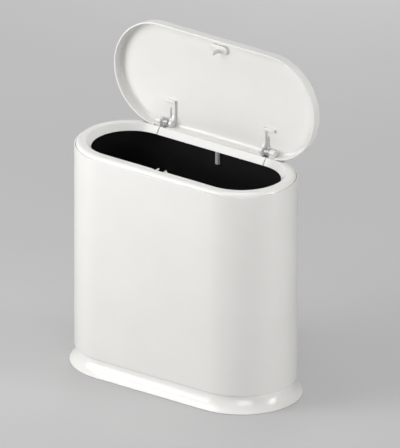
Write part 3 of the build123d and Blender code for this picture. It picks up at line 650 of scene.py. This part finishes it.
def make_outer_shell():
    """Deep tub with a thick wall, a thin rounded lip and a ledge for the collar."""
    inner = BODY_RADIUS - SHELL_WALL
    lip = BODY_RADIUS - LIP_WALL
    floor = SHELL_BOTTOM + SHELL_FLOOR
    seat = NECK_RADIUS + NECK_GAP
    profile = rounded([
        (0, SHELL_BOTTOM, 0), (seat, SHELL_BOTTOM, 0), (seat, SEAM_Z, 0),
        (BODY_RADIUS, SEAM_Z, SHELL_ROUND), (BODY_RADIUS, SHELL_TOP, LIP_ROUND),
        (lip, SHELL_TOP, LIP_ROUND), (lip, LEDGE_Z, 0), (inner, LEDGE_Z, LEDGE_ROUND),
        (inner, floor, SHELL_ROUND), (0, floor, 0),
    ])
    finish_piece(swept("tub_wall", profile, track()), "white_plastic", "tub", "outer_shell")


def make_base_plinth():
    """Flared skirt with a rounded rim, its deck, and the ribs, screw posts and foot sockets below."""
    skirt = plinth_high.y
    foot = plinth_low.z
    flare_top = SHELL_BOTTOM - NECK_HEIGHT
    deck = SHELL_BOTTOM - DECK
    edge_top = foot + SKIRT_EDGE
    inner = NECK_RADIUS - SKIRT_WALL
    land = skirt - SKIRT_WALL
    drop = flare_top - edge_top
    flare = arc_radius(drop, skirt - NECK_RADIUS)  # of the concave sweep
    swing = math.degrees(math.asin(drop / flare))
    outer_arc = arc((NECK_RADIUS + flare, flare_top), flare, 180, 180 + swing, FLARE_STEPS)
    inner_arc = [(r - SKIRT_WALL, z) for r, z in reversed(outer_arc)]
    rim = rounded([
        (skirt, edge_top, 0), (skirt, foot, SKIRT_OUTER_ROUND),
        (land, foot, SKIRT_INNER_ROUND), (land, edge_top, 0),
    ])[1:-1]
    profile = [
        (0, SHELL_BOTTOM), (NECK_RADIUS, SHELL_BOTTOM), *outer_arc, *rim, *inner_arc,
        (inner, deck), (0, deck),
    ]
    rib_low = deck - RIB_HEIGHT
    half_rib = RIB_THICKNESS / 2
    reach = inner + SKIRT_WALL / 2
    ribs = [rectangle(-HALF - reach, HALF + reach, -half_rib, half_rib)]
    ribs += [rectangle(x - half_rib, x + half_rib, -reach, reach) for x in (-HALF, 0, HALF)]
    pieces = [swept("skirt", profile, track())]
    pieces += [upright("rib", [rib], rib_low, deck) for rib in ribs]
    for side_x in (-1, 1):
        for side_y in (-1, 1):
            spot = (side_x * SCREW_SPOT[0], side_y * SCREW_SPOT[1])
            ring = [circle(*spot, SCREW_POST), circle(*spot, SCREW_WELL)]
            pieces.append(upright("post", ring, rib_low, deck))
            spot = (side_x * FOOT_SPOT[0], side_y * FOOT_SPOT[1])
            column = circle(*spot, FOOT_SOCKET + FOOT_POST_WALL)
            pieces.append(upright("column", [column], FOOT_HEIGHT, deck))
            pieces.append(upright("socket", [column, circle(*spot, FOOT_SOCKET)], foot, FOOT_HEIGHT))
    finish_piece(join(pieces, "flared_plinth"), "white_plastic", "tub", "base_plinth")


def make_bucket():
    """Black bucket with a rounded floor and a soft rim."""
    outer = bucket_high.y
    inner = outer - BUCKET_WALL
    floor = bucket_low.z + BUCKET_FLOOR
    profile = rounded([
        (0, bucket_low.z, 0), (outer, bucket_low.z, BUCKET_ROUND),
        (outer, bucket_high.z, BUCKET_RIM_ROUND), (inner, bucket_high.z, BUCKET_RIM_ROUND),
        (inner, floor, BUCKET_ROUND - BUCKET_WALL), (0, floor, 0),
    ])
    finish_piece(swept("bucket", profile, track()), "black_plastic", "bucket", "inner_bucket")


def out_of_groove(spot, underside):
    """Move a point out of the hinge groove's round bar, one of the underside by a wall more."""
    radius = RELIEF_RADIUS + (RELIEF_WALL if underside else 0)
    offset = Vector((spot.y - hinge.y, spot.z - hinge.z))
    if abs(spot.x) > RELIEF_HALF_LENGTH or spot.y < 0 or offset.length >= radius:
        return spot
    offset = offset.normalized() * radius
    return Vector((spot.x, hinge.y + offset.x, hinge.z + offset.y))


def shoulder_bend():
    """Radius of the collar's shoulder, from its crest down to its outer edge."""
    return arc_radius(COLLAR_RADIUS - CREST_RADIUS, CREST_Z - SHOULDER_Z)


def flange_section(outer, stops=()):
    """The flange from a radius inwards, down the opening's funnel and back along the underside."""
    bend = shoulder_bend()
    edge = CREASE_RADIUS + CREASE_ROUND
    steps = [edge + (outer - edge) * step / FLANGE_STEPS for step in range(FLANGE_STEPS + 1)]
    top = []
    for radius in sorted({*steps, *stops}, reverse=True):
        past = max(0.0, radius - CREST_RADIUS)
        top.append((radius, CREST_Z - bend + math.sqrt(bend * bend - past * past)))
    funnel = rounded([
        (edge, CREST_Z, 0), (CREASE_RADIUS, CREST_Z, CREASE_ROUND),
        (OPENING_RADIUS, OPENING_Z, EDGE), (OPENING_RADIUS + COLLAR_WALL, OPENING_Z, EDGE),
        (edge, CREST_Z - COLLAR_WALL, 0),
    ])[1:-1]
    under = [(radius, z - COLLAR_WALL) for radius, z in reversed(top)]
    return [*top, *funnel, *under]


def make_collar_band():
    """The moulded ring with its shoulder, flange, hinge groove, rear window and latch notch."""
    window = bar_high.y + BAR_SLIT
    bend = shoulder_bend()
    swing = math.degrees(math.asin((COLLAR_RADIUS - CREST_RADIUS) / bend))
    start = math.degrees(math.asin((window - CREST_RADIUS) / bend))
    middle = (CREST_RADIUS, CREST_Z - bend)
    shoulder = arc(middle, bend, 90 - swing, 90 - start, SHOULDER_STEPS)[:-1]
    stops = (CREST_RADIUS, NOTCH_RADIUS)
    flange = flange_section(window, stops)
    skirt = COLLAR_RADIUS - COLLAR_WALL
    foot = [(skirt, SHOULDER_Z - COLLAR_WALL), (skirt, COLLAR_BOTTOM), (COLLAR_RADIUS, COLLAR_BOTTOM)]
    profile = [*shoulder, *flange, *foot]
    first = len(shoulder)
    last = first + len(flange) - 1
    under_from = last - FLANGE_STEPS - len(stops)  # first point of the underside
    notch = next(i for i, point in enumerate(flange) if point[0] == NOTCH_RADIUS)
    bar_half = bar_high.x + BAR_SLIT
    stations = track((-NOTCH_HALF_WIDTH, NOTCH_HALF_WIDTH), (-bar_half, bar_half))
    rear = [i for i, (x, _, ny) in enumerate(stations) if ny == 1 and abs(x) <= bar_half]
    front = [i for i, (x, _, ny) in enumerate(stations) if ny == -1 and abs(x) <= NOTCH_HALF_WIDTH]
    windows = [(rear[0], rear[-1], first, last), (front[0], front[-1], first + notch, last - notch)]

    def grooved(spot, index):
        """A point of the profile, moved out of the hinge groove."""
        return out_of_groove(spot, under_from <= index <= last)

    return soften(swept("collar_band", profile, stations, windows, grooved), EDGE)


def make_knuckle():
    """Right-hand knuckle on the collar, a rounded barrel on a post; the pin's end just shows past it."""
    foot = hinge.z - RELIEF_RADIUS - RELIEF_WALL / 2
    half = KNUCKLE_RADIUS - KNUCKLE_STEP
    meet = math.degrees(math.acos(half / KNUCKLE_RADIUS))
    barrel = arc((hinge.y, hinge.z), KNUCKLE_RADIUS, -meet, 180 + meet, KNUCKLE_STEPS)
    outline = [(hinge.y - half, foot), (hinge.y + half, foot), *barrel]
    near, far = KNUCKLE_SPAN
    return moulded("knuckle_right", [outline], far - near, across((near + far) / 2), KNUCKLE_ROUND)


def make_collar():
    """Collar ring with its two knuckles and the shelf under the hinge bar."""
    knuckle = make_knuckle()
    half = bar_high.x + SHELF_OVERLAP
    rear = COLLAR_RADIUS - COLLAR_WALL / 2
    room = TONGUE_RADIUS + FIT_GAP
    slot = rectangle(-room, room, TONGUE_REAR - room, TONGUE_REAR + FIT_GAP)
    plan = rectangle(-half, half, SHELF_FRONT, rear)
    shelf = upright("shelf", [plan, slot], SHELF_TOP - SHELF_THICKNESS, SHELF_TOP)
    pieces = [make_collar_band(), knuckle, mirrored(knuckle, "knuckle_left"), shelf]
    finish_piece(join(pieces, "collar"), "white_plastic", "collar", "collar_ring")


def make_hinge_bar():
    """Separate strip between the hinges, in the collar's own section, with the hanging tongue."""
    section = flange_section(bar_high.y)
    under_from = len(section) - FLANGE_STEPS - 1  # first point of the underside
    outline = []
    for index, (y, z) in enumerate(section):
        spot = out_of_groove(Vector((0, y, z)), index >= under_from)
        outline.append((min(spot.y, bar_high.y), spot.z))
    roof = hinge.z - RELIEF_RADIUS - RELIEF_WALL / 2
    tongue = arc((REAR_SHIFT, TONGUE_REAR), TONGUE_RADIUS, 180, 360, TONGUE_STEPS)
    root = rectangle(-TONGUE_RADIUS, TONGUE_RADIUS, TONGUE_REAR - TONGUE_RADIUS, bar_high.y)
    pieces = [
        moulded("bar", [outline], bar_high.x - bar_low.x, across(0)),
        upright("tongue", [tongue], TONGUE_BOTTOM, SHELF_TOP + COLLAR_WALL, TONGUE_ROUND),
        upright("root", [root], SHELF_TOP, roof),
    ]
    for side in (-1, 1):
        boss = circle(side * BAR_SCREW_SPOT[0], BAR_SCREW_SPOT[1], BAR_BOSS)
        pieces.append(upright("boss", [boss], SHELF_TOP, roof))
    finish_piece(join(pieces, "hinge_strip"), "white_plastic", "collar", "hinge_bar")


def make_lid():
    """Racetrack tray with a rounded lip and two hinge notches, drawn shut and swung open."""
    inner = LID_RADIUS - LID_WALL
    notch_z = LID_LIP_Z + LID_NOTCH_HEIGHT
    profile = rounded([
        (0, LID_TOP_Z, 0), (LID_RADIUS, LID_TOP_Z, LID_TOP_ROUND), (LID_RADIUS, notch_z, 0),
        (LID_RADIUS, LID_LIP_Z, LID_LIP_ROUND), (inner, LID_LIP_Z, LID_LIP_ROUND),
        (inner, LID_CEILING_Z, LID_INNER_ROUND), (0, LID_CEILING_Z, 0),
    ], LID_CORNER_STEPS)
    low = profile.index((LID_RADIUS, notch_z))
    inside = [i for i in range(low + 1, len(profile)) if profile[i][0] <= inner]
    high = min(inside, key=lambda i: abs(profile[i][1] - notch_z))
    near, far = LID_NOTCH
    end = math.degrees(math.asin((far - HALF) / LID_RADIUS))
    stations = track(rear_stops=(-near, near), rear_angles=(end,))
    windows = []
    for side in (-1, 1):
        run = [i for i, (x, nx, ny) in enumerate(stations)
               if ny > 0 and near <= side * (x + LID_RADIUS * nx) <= far + EDGE]
        windows.append((run[0], run[-1], low, high))
    lid = swept("lid_tray", profile, stations, windows)
    lid.data.transform(swung_open())
    finish_piece(soften(lid, EDGE), "white_plastic", "lid", "lid_shell")


def make_arm():
    """Right-hand goose-neck arm with its barrel and foot bar, drawn shut and swung open."""
    tip = hinge.y - ARM_LENGTH
    back = hinge.y + ARM_BACK
    stem = LID_CEILING_Z - ARM_STEM
    run = ARM_BEND - ARM_BARREL
    bend = arc_radius(run, stem - hinge.z)
    swing = math.degrees(math.asin(run / bend))
    curve = arc((hinge.y - ARM_BEND, stem - bend), bend, 90, 90 - swing, ARM_BEND_STEPS)
    meet = math.degrees(math.acos(ARM_BACK / ARM_BARREL))
    barrel = arc((hinge.y, hinge.z), ARM_BARREL, 180, 360 + meet, ARM_BARREL_STEPS)[1:]
    outline = [(tip, LID_CEILING_Z), (tip, stem), *curve, *barrel, (back, LID_CEILING_Z)]
    bore = circle(hinge.y, hinge.z, PIN_BORE)
    rib = moulded("rib", [outline, bore], ARM_WIDTH, across(ARM_INNER + ARM_WIDTH / 2), ARM_ROUND)
    bar_end = ARM_INNER + ARM_BAR_LENGTH
    plan = rectangle(ARM_INNER, bar_end, tip, tip + ARM_BAR_WIDTH, ARM_BAR_CORNER)
    bar = upright("bar", [plan], LID_CEILING_Z - ARM_BAR_HEIGHT, LID_CEILING_Z, ARM_BAR_ROUND)
    arm = join([rib, bar], "arm_right")
    arm.data.transform(swung_open())
    return arm


def make_arms():
    """Both arms."""
    right = make_arm()
    left = mirrored(right, "arm_left")
    for arm in (left, right):
        arm.data.transform(Matrix.Translation((REAR_SHIFT, 0, 0)))
    finish_piece(left, "white_plastic", "lid", "hinge_arm_left")
    finish_piece(right, "white_plastic", "lid", "hinge_arm_right")


def lid_leg(coil_end):
    """Points of a spring's leg, from its tip down the lid's floor and round a bend to the coil."""
    floor = hinge.y + LID_CEILING_Z - hinge.z - SPRING_WIRE / 2 - LID_LEG_GAP
    run = floor - coil_end.y
    knee = coil_end + Vector((0, run, run / math.tan(-LID_LEG_START)))
    upper = knee + Vector((0, 0, LID_LEG_BEND))
    bend = []
    for step in range(LID_LEG_STEPS + 1):
        part = step / LID_LEG_STEPS
        bend.append(upper.lerp(knee, part).lerp(knee.lerp(coil_end, part), part))
    return [Vector((coil_end.x, floor, hinge.z + LID_LEG)), *bend]


def make_springs():
    """Torsion springs: a leg up the lid's floor, close turns about the pin and a leg on the collar."""
    start = LID_LEG_START
    stop = COLLAR_LEG_TILT - math.pi / 2 - 2 * math.pi * SPRING_TURNS
    steps = SPRING_TURNS * TURN_STEPS
    lean = (SPRING_SPAN[1] - SPRING_SPAN[0]) / (start - stop)
    for side, name in ((-1, "left"), (1, "right")):
        coil = []
        for step in range(steps + 1):
            angle = start + (stop - start) * step / steps
            x = side * (SPRING_SPAN[0] + lean * (start - angle)) + REAR_SHIFT
            y = hinge.y + SPRING_RADIUS * math.cos(angle)
            z = hinge.z + SPRING_RADIUS * math.sin(angle)
            coil.append(Vector((x, y, z)))
        down = Vector((0, math.sin(stop), -math.cos(stop)))
        collar_leg = [coil[-1] + down * COLLAR_LEG / 2, coil[-1] + down * COLLAR_LEG]
        points = [*lid_leg(coil[0]), *coil[1:], *collar_leg]
        spring = tube("spring_" + name, points, SPRING_WIRE / 2)
        finish_piece(spring, "steel", None, "torsion_spring_" + name)
        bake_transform(spring)


def make_striker():
    """Pill-shaped plate on the lid's floor with the arrow-headed hook, drawn shut and swung open."""
    reach = (STRIKER_LENGTH - STRIKER_WIDTH) / 2
    pill = both_sides(arc((reach, STRIKER_Y), STRIKER_WIDTH / 2, -90, 90, PILL_STEPS))
    plate_z = LID_CEILING_Z - STRIKER_THICKNESS
    plate = upright("plate", [pill], plate_z, LID_CEILING_Z, STRIKER_ROUND)
    shoulder = HOOK_TIP_Z + HOOK_HEAD_HEIGHT
    outline = both_sides([
        (HOOK_NECK / 2, HOOK_TIP_Z), (HOOK_HEAD / 2, shoulder), (HOOK_NECK / 2, shoulder),
        (HOOK_NECK / 2, LID_CEILING_Z),
    ])
    hook = moulded("hook", [outline], HOOK_DEPTH, facing(LATCH_Y))
    striker = join([plate, hook], "striker")
    striker.data.transform(swung_open())
    finish_piece(striker, "white_plastic", "lid", "latch_striker")


def make_latch_housing():
    """Latch body: a roof and a raised front edge round the claws, walls, floor and two screw ears."""
    front = LATCH_Y - HOUSING_FRONT
    back = LATCH_Y + HOUSING_BACK
    near, far = LATCH_Y - MOUTH[1], LATCH_Y + MOUTH[1]
    top = housing_high.z
    roof_z = top - HOUSING_ROOF
    floor_z = housing_low.z + HOUSING_ROOF
    plan = rectangle(-HOUSING_HALF_WIDTH, HOUSING_HALF_WIDTH, front, back, HOUSING_ROUND)
    cavity = rectangle(-CAVITY_HALF_WIDTH, CAVITY_HALF_WIDTH, near, far)
    rod_hole = circle(0, LATCH_Y, ROD_HOLE)

    def open_behind(slot_front, ends):
        """Plan of a layer whose slot for the claws is open to the back."""
        return both_sides([
            (HOUSING_HALF_WIDTH, front), (HOUSING_HALF_WIDTH, ends), (MOUTH[0], ends),
            (MOUTH[0], slot_front),
        ])

    brow = open_behind(front + HOUSING_BROW[0], front + HOUSING_BROW[1])
    pieces = [
        upright("roof", [open_behind(near, far)], roof_z, top),
        upright("walls", [plan, cavity], floor_z, roof_z),
        upright("floor", [plan, rod_hole], housing_low.z, floor_z),
        upright("brow", [brow], roof_z, CREST_Z - BROW_DROP),
    ]
    ear_low = top - EAR_DROP
    ear_back = LATCH_Y - EAR_SETBACK
    for side in (-1, 1):
        x_low, x_high = sorted((side * HOUSING_HALF_WIDTH, side * housing_high.x))
        ear = rectangle(x_low, x_high, ear_back - EAR_DEPTH, ear_back, EAR_ROUND)
        hole = circle((x_low + x_high) / 2, ear_back - EAR_DEPTH / 2, EAR_HOLE)
        pieces.append(upright("ear", [ear, hole], ear_low, ear_low + EAR_THICKNESS))
    finish_piece(join(pieces, "latch_body"), "white_plastic", "collar", "latch_housing")


def make_jaws():
    """Two claws that rise through the slot, drawn open, each on its pivot boss."""
    x, z = jaw_pivot.x, jaw_pivot.z
    tip_z = housing_high.z + CLAW_RISE
    low = tip_z - CLAW_DEPTH
    first = math.degrees(math.acos(JAW_OUTER / JAW_BOSS))
    last = math.degrees(math.acos(-JAW_INNER / JAW_BOSS)) - 360
    outline = [
        (x - JAW_INNER, low - CLAW_SLOPE), (x - CLAW_END, low),
        (x - CLAW_END, tip_z - CLAW_THICKNESS), (x - CLAW_TIP, tip_z),
        (x + JAW_OUTER, low - CLAW_THICKNESS),
        *arc((x, z), JAW_BOSS, first, last, JAW_BOSS_STEPS),
    ]
    bore = circle(x, z, JAW_BORE)
    right = moulded("claw_right", [outline, bore], JAW_DEPTH, facing(LATCH_Y))
    left = mirrored(right, "claw_left")
    finish_piece(left, "white_plastic", "jaw_left", "latch_jaw_left")
    finish_piece(right, "white_plastic", "jaw_right", "latch_jaw_right")


def make_latch_spring():
    """Compression spring under the plunger's collet."""
    low, high = (point.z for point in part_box("latch_spring"))
    low += LATCH_SPRING_WIRE / 2
    high -= LATCH_SPRING_WIRE / 2
    steps = LATCH_SPRING_TURNS * TURN_STEPS
    points = []
    for step in range(steps + 1):
        angle = 2 * math.pi * LATCH_SPRING_TURNS * step / steps
        x = LATCH_SPRING_RADIUS * math.cos(angle)
        y = LATCH_Y + LATCH_SPRING_RADIUS * math.sin(angle)
        points.append(Vector((x, y, low + (high - low) * step / steps)))
    spring = tube("push_spring", points, LATCH_SPRING_WIRE / 2, LATCH_WIRE_SIDES)
    finish_piece(spring, "steel", "collar", "latch_spring")
    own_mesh(spring)


def dress_frame():
    """Materials for the CAD nodes, of which pins, screws, pads and the plunger stay in view."""
    slots = {part["node"]: part["material_slot"] for part in frame["record"]["subparts"]}
    for name, node in frame["nodes"].items():
        node.data.materials.clear()
        node.data.materials.append(materials[slots[name]])


def direction(azimuth, elevation):
    """Towards a place round the bin, in degrees; azimuth 0 is in front, and positive to the right."""
    turn, rise = math.radians(azimuth), math.radians(elevation)
    level = math.cos(rise)
    return Vector((math.sin(turn) * level, -math.cos(turn) * level, math.sin(rise)))


def make_camera():
    """Orthographic camera at the photo's angle and scale."""
    right = direction(AZIMUTH + 90, 0)
    back = direction(AZIMUTH, ELEVATION)
    up = back.cross(right)
    aside = (PHOTO_WIDTH / 2 - ORIGIN_PIXEL[0]) * PIXEL
    above = (ORIGIN_PIXEL[1] - PHOTO_HEIGHT / 2) * PIXEL
    place = right * aside + up * above + back * CAMERA_DISTANCE
    data = bpy.data.cameras.new("camera")
    data.type = "ORTHO"
    data.ortho_scale = PIXEL * PHOTO_HEIGHT
    camera = bpy.data.objects.new("camera", data)
    turn = Matrix((right, up, back)).transposed().to_4x4()
    camera.matrix_world = Matrix.Translation(place) @ turn
    bpy.context.scene.collection.objects.link(camera)
    bpy.context.scene.camera = camera


def make_light(name, azimuth, elevation, size, power):
    """A soft panel that faces the bin's middle."""
    towards = direction(azimuth, elevation)
    data = bpy.data.lights.new(name, "AREA")
    data.shape = "RECTANGLE"
    data.size, data.size_y = size
    data.energy = power
    light = bpy.data.objects.new(name, data)
    light.location = Vector((0, 0, LIT_HEIGHT)) + towards * LIGHT_DISTANCE
    light.rotation_euler = (-towards).to_track_quat("-Z", "Y").to_euler()
    bpy.context.scene.collection.objects.link(light)
    return light


def make_lights():
    """Soft panels all round; the one behind isn't mirrored in the plastic."""
    for panel in STUDIO:
        make_light(*panel)
    make_light(*BACK_PANEL).visible_glossy = False


def background_rays(tree):
    """1 for the rays that show the background: straight from the camera, mirrored or let through."""
    rays = tree.nodes.new("ShaderNodeLightPath")
    found = rays.outputs["Is Camera Ray"]
    for name in ("Is Glossy Ray", "Is Transmission Ray"):
        larger = tree.nodes.new("ShaderNodeMath")
        larger.operation = "MAXIMUM"
        tree.links.new(found, larger.inputs[0])
        tree.links.new(rays.outputs[name], larger.inputs[1])
        found = larger.outputs["Value"]
    return found


def make_floor():
    """Grey floor with a faint glow where it is seen, which throws little light back up."""
    build = bmesh.new()
    bmesh.ops.create_grid(build, x_segments=1, y_segments=1, size=FLOOR_SIZE)
    floor = mesh_object("floor", build)
    material, shader, place = new_material("pale_floor")
    nodes = material.node_tree.nodes
    link = material.node_tree.links.new
    seen = background_rays(material.node_tree)
    cloud = spread(material, noise(material, place, scale=3.0))
    colour = nodes.new("ShaderNodeMix")
    colour.data_type = "RGBA"
    colour.inputs["A"].default_value = (*FLOOR_BOUNCE, 1)
    link(tint(material, cloud, *FLOOR_SHADES), colour.inputs["B"])
    link(seen, colour.inputs["Factor"])
    link(colour.outputs["Result"], shader.inputs["Base Color"])
    glow = nodes.new("ShaderNodeMath")
    glow.operation = "MULTIPLY"
    glow.inputs[1].default_value = FLOOR_GLOW
    link(seen, glow.inputs[0])
    link(glow.outputs["Value"], shader.inputs["Emission Strength"])
    shader.inputs["Emission Color"].default_value = (1, 1, 1, 1)
    shader.inputs["Roughness"].default_value = FLOOR_ROUGHNESS
    shader.inputs["Specular IOR Level"].default_value = 0
    floor.data.materials.append(material)


def make_sky():
    """A sky that is seen as a pale background and lights next to nothing."""
    world = bpy.data.worlds.new("sky")
    world.use_nodes = True
    tree = world.node_tree
    strength = tree.nodes.new("ShaderNodeMix")
    strength.inputs["A"].default_value = SKY_STRENGTH
    strength.inputs["B"].default_value = SKY_SEEN
    tree.links.new(background_rays(tree), strength.inputs["Factor"])
    tree.nodes["Background"].inputs["Color"].default_value = (1, 1, 1, 1)
    tree.links.new(strength.outputs["Result"], tree.nodes["Background"].inputs["Strength"])
    bpy.context.scene.world = world


dress_frame()
make_outer_shell()
make_base_plinth()
make_bucket()
make_collar()
make_hinge_bar()
make_lid()
make_arms()
make_springs()
make_striker()
make_latch_housing()
make_jaws()
make_latch_spring()
make_camera()
make_floor()
make_lights()
make_sky()
bpy.context.scene.view_settings.view_transform = "Standard"
